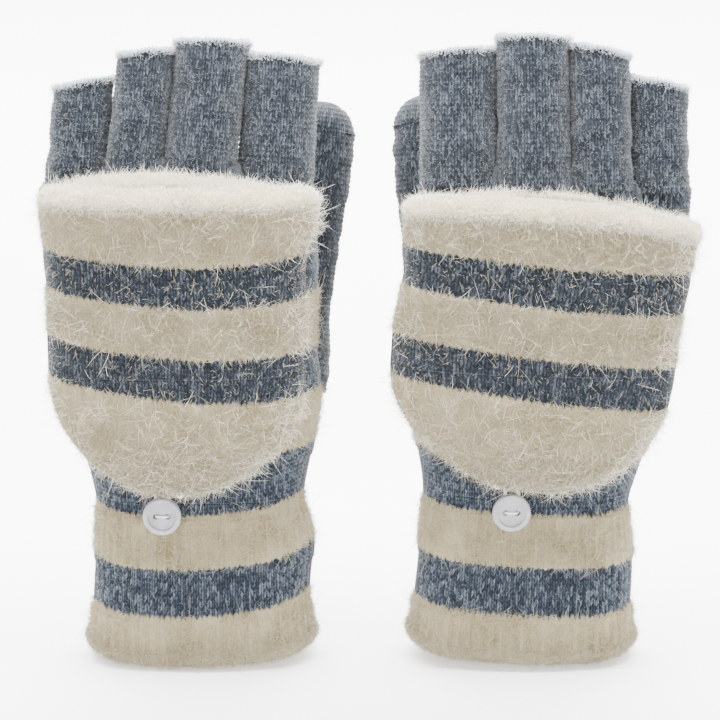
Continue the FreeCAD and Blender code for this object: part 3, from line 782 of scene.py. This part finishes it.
def make_webs(glove, sleeve):
    """The knit that closes the gap between two finger roots: a small saddle in each."""
    axis = glove.fingers["middle"][1]
    sunk = 9  # how far a saddle starts below the roots
    levels = np.linspace(0, 1, 40)
    columns = 24 * STEPS // 2
    turn = np.arange(columns) * TAU / columns + math.pi / 2
    size = np.sqrt(np.maximum(1 - levels**3, 0.0004))[:, None]
    counts = np.arange(columns + 1) / STEPS * 2
    for number, (one, two) in enumerate(zip(sleeve.roots, sleeve.roots[1:])):
        height = glove.looks["webs"][number]
        middle = (np.array([one[0] + one[2], one[1]]) + np.array([two[0] - two[2], two[1]])) / 2
        depth = min(one[2], two[2]) - 1.6
        base = np.array([middle[0], middle[1], sleeve.top - sleeve.tan * (middle[1] - glove.hinge[1])])
        x = 3.4 * size * np.cos(turn)
        y = depth * (0.25 + 0.75 * size) * np.sin(turn) * np.minimum(1, size * 4)
        rise = (levels * (height + sunk) - sunk)[:, None] * np.ones_like(turn)
        points = base + np.stack([x, y, np.zeros_like(x)], 2) + rise[..., None] * axis
        stitches = np.stack(np.broadcast_arrays(counts[None], (rise[:, :1] / COURSE)), 2)
        carved = relief(points, stitches, True, 0.4)
        inner = base + (points - base) * (0.6, 0.8, 1) - axis * 0.8
        obj = glove.knit("web_%d" % number, carved, inner, stitches, True, "blue", "heather_knit")
        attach(obj, glove.body)


# ---------------------------------------------------------------- mitten cap

class Cap:
    """The mitten cap folded down over the hand: two layers, the rolled mouth and the hinge.

    The layers share their edge."""

    TIP = 37.0  # height of the rounded tip
    WALL = 1.8
    EDGE = 7.05  # depth of the cap's side edge, where both layers meet
    FALL = 0.1662  # how much shallower that edge is for each mm down the tip
    FULL = 8.9  # thickness of the folded cap
    CROWN = 278.0
    COLUMNS = 46 * STEPS
    SWAY_AT = (56, 86, 103, 120)  # heights at which looks give the cap's sideways sway

    def __init__(self, glove):
        self.glove = glove
        panel = glove.points("cap_back")
        self.tip = panel[:, 2].min() - 0.4
        self.shoulder = self.tip + self.TIP
        self.half = glove.looks["cap_half"]
        self.attach = glove.looks["attach"]
        self.columns = np.linspace(-1, 1, self.COLUMNS + 1)
        self.front = self.layer(glove.looks["rim"], self.front_depth)
        self.back = self.layer(self.attach, self.back_depth)

    @staticmethod
    def through(values, share):
        """A curve through a left, a middle and a right value, for shares from -1 to 1."""
        left, middle, right = values
        return middle + (right - left) / 2 * share + ((right + left) / 2 - middle) * share**2

    def back_depth(self, x, z):
        """Depth of the middle of the back layer: the hand's crown, flatter towards the tip."""
        crown = x**2 / self.CROWN
        limit = self.EDGE - 0.9 - self.FALL * np.maximum(self.shoulder - z, 0)
        rounding = 0.6
        return (crown + limit - np.sqrt((crown - limit) ** 2 + rounding**2)) / 2

    def front_depth(self, x, z):
        """Depth of the cap's outside: puffed in the middle, turned down to the edge round it."""
        down = np.maximum(self.shoulder - z, 0) / self.TIP
        inward = (1 - np.hypot(x / self.half, down)) * self.half
        side = 1 - (1 - np.clip(inward / 13, 0, 1)) ** 3
        tip = 1 - (1 - np.clip(inward / 40, 0, 1)) ** 2
        upper = smooth((z - self.tip - 6) / 40)
        thick = self.FULL * mix(tip**0.5, side ** (1 / 3), upper)
        return self.back_depth(x, z) + 0.9 - thick

    def layer(self, top, depth):
        """A grid over one layer: rows from tip to mouth, columns evenly spaced along each row."""
        rows = int((150 - self.tip) / COURSE * STEPS)
        low = int(rows * self.TIP / (self.glove.hinge[2] - self.tip))
        fine = np.linspace(-1, 1, 401)
        top = np.minimum(self.through(top, fine), self.glove.hinge[2] - 1.0)
        points = []
        for row in range(rows):
            if row <= low:
                z = self.tip + 0.15 + (self.TIP - 0.15) * (row / low) ** 1.25 + 0 * fine
            else:
                z = mix(self.shoulder, top, (row - low) / (rows - 1 - low))
            down = np.clip((self.shoulder - z) / self.TIP, 0, 0.9995)
            x = fine * self.half * np.sqrt(1 - down**2)
            d = depth(x, z)
            run = np.concatenate([[0], np.cumsum(np.hypot(np.diff(x), np.diff(d)))])
            at = (self.columns + 1) / 2 * run[-1]
            points.append(np.stack([np.interp(at, run, values) for values in (x, d, z)], 1))
        return np.array(points)

    def to_glove(self, grid):
        """From (across, depth, height) to the glove's own frame, with the cap's sway and flare."""
        x, z = grid[..., 0], grid[..., 2]
        sway = np.interp(z, self.SWAY_AT, self.glove.looks["sway"])
        left, right = self.glove.looks["flare"]
        side = np.clip(x / self.half, -1, 1)
        out = np.where(side > 0, right, -left) * np.abs(side) ** 3 * smooth((z - 127) / 14)
        moved = np.stack([x + sway + out, grid[..., 1], z], -1)
        return moved + (self.glove.hinge[0], self.glove.hinge[1], 0)

    def stitches(self, grid):
        """Stitch counts on a layer; the courses slant as they do in the photo."""
        top_slant, low_slant = self.glove.looks["cap_slant"]
        slant = np.tan(np.radians(mix(low_slant, top_slant, (grid[..., 2] - 86) / 41)))
        bow = self.glove.looks["cap_bow"] * (grid[..., 0] / 38) ** 2
        courses = (grid[..., 2] + slant * grid[..., 0] - bow + self.glove.looks["cap_drop"]) / COURSE
        columns = np.broadcast_to((self.columns + 1) * self.COLUMNS / 2 / STEPS, courses.shape)
        return np.stack([columns, courses], 2)

    def bend(self, obj, kind):
        """Work out two points on the line between the cap and its mouth, which are not used, and bake the
        piece's transform into its mesh. kind is front, tip or back.
        """
        glove = self.glove
        x, y, _ = glove.hinge
        z = self.shoulder
        if kind == "back":
            start, end = (x, y, z), (x, y + 2 * self.EDGE, z)
        elif kind == "front":
            start, end = (x, y + 14.6, z), (x, y - 0.5, z)
        else:
            fall = ((14.6 - 0.9) / 15.1 - 0.9 / (2 * self.EDGE)) / self.TIP
            slope = np.array([0, -1 / 15.1, fall])
            start = np.array([x, y + 14.6, z])
            end = start + slope / (slope @ slope)
        glove.row(start)
        glove.row(end)
        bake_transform(obj)

    def build(self):
        glove = self.glove
        front = self.to_glove(self.front)
        stitches = self.stitches(self.front)
        puff = 0.6 * waves(front * (1, 1, 1.3), 40, 31) + 0.25 * waves(front, 14, 32)
        inside = np.clip((1 - np.abs(self.columns)) * 6, 0, 1)[None]
        front = front + normals(front, False) * (puff * inside)[..., None]
        self.front_skin = front
        self.angora = angora_share(stitches[..., 1] * COURSE, CAP_BLUE)
        carved = relief(front, stitches, False, mix(0.55, 0.22, self.angora))
        inner = front - normals(front, False) * self.WALL
        low = int(np.argmin(np.abs(self.front[:, 0, 2] - self.shoulder)))
        self.parts = (("tip", slice(0, low + 1), []), ("front", slice(low, None), ["cap_front"]))
        for part, pick, nodes in self.parts:
            obj = glove.knit("cap_%s_knit" % part, carved[pick], inner[pick], stitches[pick], False,
                             "cap", "angora", *nodes)
            self.bend(obj, part)

        back = self.to_glove(self.back)
        stitches = self.stitches(self.back)
        half_wall = normals(back, False) * 0.85
        self.back_near = back + half_wall
        self.back_far = back - half_wall
        self.back_angora = angora_share(stitches[..., 1] * COURSE, CAP_BLUE)
        near = relief(self.back_near, stitches, False, depth=0.2)
        far = relief(self.back_far, stitches, False, depth=-0.35)
        obj = glove.knit("cap_back_knit", near, far, stitches, False, "cap", "angora", "cap_back")
        self.bend(obj, "back")
        self.make_rim()
        self.make_hinge()

    def make_rim(self):
        """The thick soft roll along the cap's mouth."""
        edge = self.front_skin[-1]
        out = normals(self.front_skin, False)[-2]
        out[:, 2] = 0
        out /= np.linalg.norm(out, axis=1, keepdims=True)
        radius = 4.1 - 1.0 * np.abs(self.columns) ** 6 - 2.0 * np.abs(self.columns) ** 24
        radius = radius * (1 + 0.07 * waves(edge, 18, 41))
        centre = edge - out * (radius - 0.2)[:, None]
        turn = np.arange(18 * STEPS) * TAU / (18 * STEPS)
        rise = np.array([0, 0, 1.0])
        ring = -out[:, None] * np.cos(turn)[None, :, None] + rise * np.sin(turn)[None, :, None]
        self.rim_skin = centre[:, None] + ring * radius[:, None, None]
        courses = np.arange(18 * STEPS + 1) / STEPS
        wales = (self.columns + 1) * self.COLUMNS / 2 / STEPS
        stitches = np.stack(np.broadcast_arrays(wales[:, None], courses[None]), 2)
        carved = relief(self.rim_skin, stitches, True, 0.25)
        inner = centre[:, None] + ring * (radius * 0.45)[:, None, None]
        # The roll takes the lighter cream knit: painted highlight.
        obj = self.glove.knit("cap_rim_roll", carved, inner, stitches, True, "cream", "angora", "cap_rim")
        self.bend(obj, "front")

    def make_hinge(self):
        """The soft fold where the cap is knitted on, in two halves."""
        glove = self.glove
        left, middle, right = self.attach
        self.folds = []
        for part, ends, rise in (("left", (-0.97, 0.0), middle - left),
                                 ("right", (0.0, 0.97), right - middle)):
            share = np.linspace(*ends, 22 * STEPS)
            x = share * (self.half - 1.5)
            top = self.through(self.attach, share) + 0.6
            rows = np.linspace(0, 1, 28)[:, None]
            z = mix(top[None] - 7.0, top[None], rows)
            bulge = smooth((1 - rows) * 2.4)
            above = np.maximum(z - glove.hinge[2], 0) * math.tan(glove.tilt)
            wrap = 2.5 * smooth((np.abs(share) - 0.72) / 0.28)
            d = x**2 / self.CROWN + mix(2.6, -1.0, bulge) + above + wrap
            grid = self.to_glove(np.stack([np.broadcast_to(x, z.shape), d, z], 2))
            stitches = np.stack([np.broadcast_to(share * 22, z.shape), z / COURSE], 2)
            carved = relief(grid, stitches, False, 0.22)
            inner = grid - normals(grid, False) * 1.3
            # The folds take the lighter cream knit: painted highlight.
            obj = glove.knit("cap_fold_" + part, carved, inner, stitches, False, "cream", "angora",
                             "cap_seam")
            self.fold(obj, rise)
            self.folds.append((part, rise, grid))

    def fold(self, obj, rise):
        """Work out the line where the cap is knitted on, which is not used, and bake the piece's
        transform into its mesh. rise is how much that line climbs from one end of the half to the other."""
        glove = self.glove
        x, y, _ = glove.hinge
        width = 5.0
        start = np.array([x, y, self.attach[1] + 0.9])
        slope = np.array([rise / self.half, 0, -1]) / width
        end = start + slope / (slope @ slope)
        glove.row(start)
        glove.row(end)
        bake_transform(obj)


# ---------------------------------------------------------------- button and loop

def make_button(glove, cap):
    """New finishes for the button and the loop, the button's stitches and the loop's knot."""
    for node, material in (("button", "resin"), ("cap_loop", "elastic")):
        finishes = frame["nodes"]["%s_%s" % (glove.name, node)].data.materials
        finishes.clear()
        finishes.append(MATERIALS[material])

    points = glove.points("button")
    low, high = points.min(0), points.max(0)
    x, _, z = (low + high) / 2
    front, back = low[1], high[1]
    thread = glove.points("button_thread")
    root = thread[:, 1].max()
    pitch = (thread[:, 0].max() - thread[:, 0].min()) / 2 - 0.5
    over = front + 0.45
    parts = []
    for side in (-1, 0, 1):
        for shift in (-0.14, 0.14):
            strand = [(x + side * 0.3, root, z + shift * 3),
                      (x + side * pitch * 0.6, back + 0.6, z + shift * 2),
                      (x + side * pitch, back, z + shift), (x + side * pitch, over + 0.3, z + shift),
                      (x + side * pitch * 0.8, over, z + shift), (x, over - 0.05, z + shift)]
            path = np.array(strand[:2] if side == 0 else strand)
            at = np.linspace(0, len(path) - 1, 5 * len(path))
            path = np.stack([np.interp(at, np.arange(len(path)), path[:, k]) for k in range(3)], 1)
            parts.append(tube(path, 0.17, 6))
    winds = np.linspace(0, 7 * TAU, 200)
    shank = [x + 0.8 * np.cos(winds), np.linspace(root, back + 0.5, 200), z + 0.8 * np.sin(winds)]
    parts.append(tube(np.stack(shank, 1), 0.2, 6))
    obj = glove.piece("button_stitches", *joined(parts), "thread", "thread", "button_thread")
    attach(obj, glove.body)

    turn = np.linspace(0, 3 * TAU, 90)
    bow = 0.75 * (1 + 0.3 * np.cos(turn * 2 / 3))
    knot = np.stack([bow * np.cos(turn), 0.55 * np.sin(turn * 2 / 3), bow * np.sin(turn)], 1)
    tip = cap.front_skin[2, len(cap.columns) // 2]
    across = x + 5.4 if glove.name == "left" else x - 4.6
    at = cap.front_skin[:, :, 0:3:2] - (across, tip[2] + 0.2)
    nearest = np.unravel_index(np.argmin((at**2).sum(2)), at.shape[:2])
    points, faces = tube(knot + cap.front_skin[nearest] - (0, 0.5, 0.2), 0.3, 6)
    cap.bend(glove.piece("loop_knot", points, faces, "elastic", "elastic"), "tip")


# ---------------------------------------------------------------- fuzz on one glove

def make_fuzz(glove, sleeve, cap, fingers, thumb):
    """Angora hair and loose yarn ends, one piece for each colour and part of the glove."""
    seeds = iter(range(100 if glove.name == "left" else 200, 300))
    ring = sleeve.surface
    fuzz = Fuzz(glove, next(seeds))
    fuzz.grow(ring, 56000, 1.5, sleeve.angora)
    fuzz.grow(ring[:16], 5000, 1.5, pull=(0, 0, -0.6))
    fuzz.stray(ring, 6000, 4.8, sleeve.angora)
    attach(fuzz.build("sleeve_fuzz_cream", "cream_hair"), glove.body)

    fuzz = Fuzz(glove, next(seeds))
    fuzz.grow(ring, 7000, 1.0, 1 - sleeve.angora, lean=1.3, thick=0.045)
    for surface in fingers + [thumb]:
        fuzz.grow(surface, 1800, 1.0, lean=1.3, thick=0.045)
    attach(fuzz.build("sleeve_fuzz_blue", "blue_hair"), glove.body)

    fuzz = Fuzz(glove, next(seeds))
    for surface in fingers:
        fuzz.grow(surface[-6:], 420, 2.0, pull=(0, 0, 0.9), lean=0.9)
    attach(fuzz.build("frayed_ends_blue", "frayed"), glove.body)

    for part, pick, _ in cap.parts:
        surface = cap.front_skin[pick]
        angora = np.clip(cap.angora[pick], 0.03, 1)
        fuzz = Fuzz(glove, next(seeds))
        fuzz.grow(surface, 30000 if part == "front" else 14000, 1.6, angora, (0, 0, -0.2))
        fuzz.stray(surface, 1500, 4.6, angora)
        cap.bend(fuzz.build("cap_%s_fuzz_cream" % part, "cream_hair"), part)
        fuzz = Fuzz(glove, next(seeds))
        fuzz.grow(surface, 2200, 1.0, 1 - angora, lean=1.2, thick=0.045)
        cap.bend(fuzz.build("cap_%s_fuzz_blue" % part, "blue_hair"), part)
        fuzz = Fuzz(glove, next(seeds))
        fuzz.stray(surface, 900, 4.6, angora)
        fuzz.stray(surface[:, -24:], 520, 4.8, angora[:, -24:], (0.5, 0, 0))
        fuzz.stray(surface[:, :24], 200, 3.6, angora[:, :24], (-0.4, 0, 0))
        if part == "front":
            # The rim roll's hair is the pale hair: painted highlight on the top-lit roll.
            rim = np.concatenate([cap.rim_skin, cap.rim_skin[:, :1]], 1)
            fuzz.grow(rim, 18000, 1.8, pull=(0, 0, 0.15), lean=1.0)
            fuzz.stray(rim, 900, 3.6)
        cap.bend(fuzz.build("cap_%s_fuzz_pale" % part, "pale_hair_and_painted_highlight"), part)

    fuzz = Fuzz(glove, next(seeds))
    fuzz.grow(cap.back_far[:, ::-1], 12000, 1.3, cap.back_angora[:, ::-1])
    fuzz.grow(cap.back_near[-50:], 5000, 1.5)
    cap.bend(fuzz.build("cap_back_fuzz_cream", "cream_hair"), "back")

    for part, rise, surface in cap.folds:
        fuzz = Fuzz(glove, next(seeds))
        # Pale hair on the folds: painted highlight.
        fuzz.grow(surface, 4500, 1.7, pull=(0, 0, 0.3), lean=1.0)
        fuzz.grow(surface[-14:-3], 650, 3.4, pull=(0, -0.3, 0.8), lean=0.9, thick=0.06, links=4)
        cap.fold(fuzz.build("fold_%s_fuzz_pale" % part, "pale_hair_and_painted_highlight"), rise)


# ---------------------------------------------------------------- stage, lights and camera

def make_stage():
    """A pale paper floor that curves up into a wall on every side, and glows: most behind the gloves and
    far off, least near them.
    """
    bend, near, far, wall_top = 300, 1500, 2400, 1800
    wall = [(bend * math.sin(a), bend - bend * math.cos(a)) for a in np.linspace(0, math.pi / 2, 12)]
    wall.append((bend, wall_top))
    before = [(-far - out, up) for out, up in wall[::-1]]
    deep = before + [(near + out, up) for out, up in wall]
    wide = before + [(far + out, up) for out, up in wall]
    points = np.array([[(x, y, max(a, b) - 0.6) for y, b in deep] for x, a in wide])
    count = len(deep)
    first = (np.arange(len(wide) - 1)[:, None] * count + np.arange(count - 1)).ravel()
    faces = np.stack([first, first + count, first + count + 1, first + 1], 1)
    s = Shader("paper", Base_Color=(0.97, 0.97, 0.97, 1), Roughness=0.9, Emission_Color=(1, 1, 1, 1))
    # Painted light: the paper glows though it is no lamp. The glow is strongest behind the gloves and far
    # off, weakest near them, and lights the gloves from behind and below.
    place = s.place()
    behind = s.math("MULTIPLY_ADD", s.node("SeparateXYZ", {"Vector": place}, "Y"), 4.0, 0.4, clamp=True)
    glow_far_off = s.node("VectorMath", {0: place}, "Value", operation="LENGTH")
    glow_far_off = s.math("MULTIPLY_ADD", glow_far_off, 0.8, -0.8, clamp=True)
    s.put(s.inputs["Emission Strength"], s.math("MAXIMUM", behind * 1.7, glow_far_off * 0.25) + 0.2)
    s.bump(s.noise(place, 300.0), 0.02, 0.001)
    add_mesh("sweep", points.reshape(-1, 3), [faces], s.material)


def put_in(name, data, place, aim):
    """Put a light or a camera in the scene, turned to what it is aimed at."""
    obj = bpy.data.objects.new(name, data)
    bpy.context.scene.collection.objects.link(obj)
    obj.location = place
    obj.rotation_euler = (Vector(aim) - Vector(place)).to_track_quat("-Z", "Y").to_euler()
    return obj


def make_view():
    """Soft studio light, and the camera where the photograph was taken from."""
    low, high = cad_bounds
    centre = ((low[0] + high[0]) / 2, 0, (low[2] + high[2]) / 2)
    for name, place, aim, size, power in (
            ("key", (-0.4, -0.75, 1.0), centre, (0.6, 0.6), 4.0),
            ("fill", (0.85, -0.8, 0.4), centre, (0.9, 0.9), 1.2),
            ("top", (0.05, -0.06, 0.42), (0.05, -0.01, 0.15), (0.6, 0.14), 9.0),
            ("background", (0.05, 0.85, 1.1), (0.05, 0.75, 0.0), (1.8, 0.9), 130.0)):
        light = bpy.data.lights.new(name, "AREA")
        light.shape = "RECTANGLE"
        light.size, light.size_y = size
        light.energy = power
        put_in(name, light, place, aim)
    world = bpy.data.worlds.new("studio")
    world.use_nodes = True
    sky = world.node_tree.nodes["Background"].inputs
    sky["Color"].default_value = (1, 1, 1, 1)
    sky["Strength"].default_value = 0.14
    bpy.context.scene.world = world
    data = bpy.data.cameras.new("camera")
    data.lens = 149.0
    data.sensor_width = 36
    data.clip_start = 0.01
    rise, distance = math.radians(14), 0.9
    aim = (0.0487, 0.0, 0.0923)
    place = (aim[0], -distance * math.cos(rise), aim[2] + distance * math.sin(rise))
    bpy.context.scene.camera = put_in("camera", data, place, aim)


# ---------------------------------------------------------------- the pair

# What sets each glove apart. Slants are in degrees and the rest in mm. A stripe bows down at its
# sides by a bow; sway and flare move the cap sideways; rim and attach are the heights of the
# cap's mouth and of its seam at the left, the middle and the right; webs rise between fingers.
# Fingers: how far the root and the end sit to the right of the CAD's, how much thicker the
# knit looks, and how much the open end rises for each mm to the right.
LEFT = Glove("left", cuff_slant=-3.0, cuff_bow=3.0, cuff_rise=1.7,
             cap_slant=(1.6, 5.0), cap_bow=3.2, cap_drop=0.0, cap_half=38.2,
             sway=(0.0, 0.0, 0.0, 0.0), flare=(1.4, 3.6), cuff_side=2.2, hem_round=2.2, hem_rise=1.4,
             index=(0.0, -0.9, 0.1, -0.03), middle=(0.3, 0.7, 0.25, 0.08), ring=(1.2, 2.2, -0.25, 0.20),
             little=(1.9, 2.1, 0.6, 0.26),
             rim=(144.4, 144.4, 144.4), attach=(147.8, 151.8, 145.2), webs=(0.5, 9.0, 7.0))
RIGHT = Glove("right", cuff_slant=1.0, cuff_bow=1.0, cuff_rise=0.6,
              cap_slant=(3.8, 6.0), cap_bow=0.7, cap_drop=1.0, cap_half=42.4,
              sway=(-2.0, -5.0, -4.5, -1.8), flare=(0.2, 2.6), cuff_side=0.0, hem_round=2.4, hem_rise=0.0,
              index=(0.5, 0.9, 0.6, 0.08), middle=(0.0, 0.0, 0.35, -0.04), ring=(-0.5, -0.8, 0.3, -0.22),
              little=(-1.0, -1.2, 0.3, -0.20),
              rim=(139.1, 139.9, 134.7), attach=(140.4, 145.3, 137.0), webs=(5.0, 5.0, 1.0))

for glove in (LEFT, RIGHT):
    sleeve = Sleeve(glove)
    sleeve.build()
    fingers = make_fingers(glove)
    thumb = make_thumb(glove)
    make_webs(glove, sleeve)
    cap = Cap(glove)
    cap.build()
    make_button(glove, cap)
    make_fuzz(glove, sleeve, cap, fingers, thumb)

make_stage()
make_view()
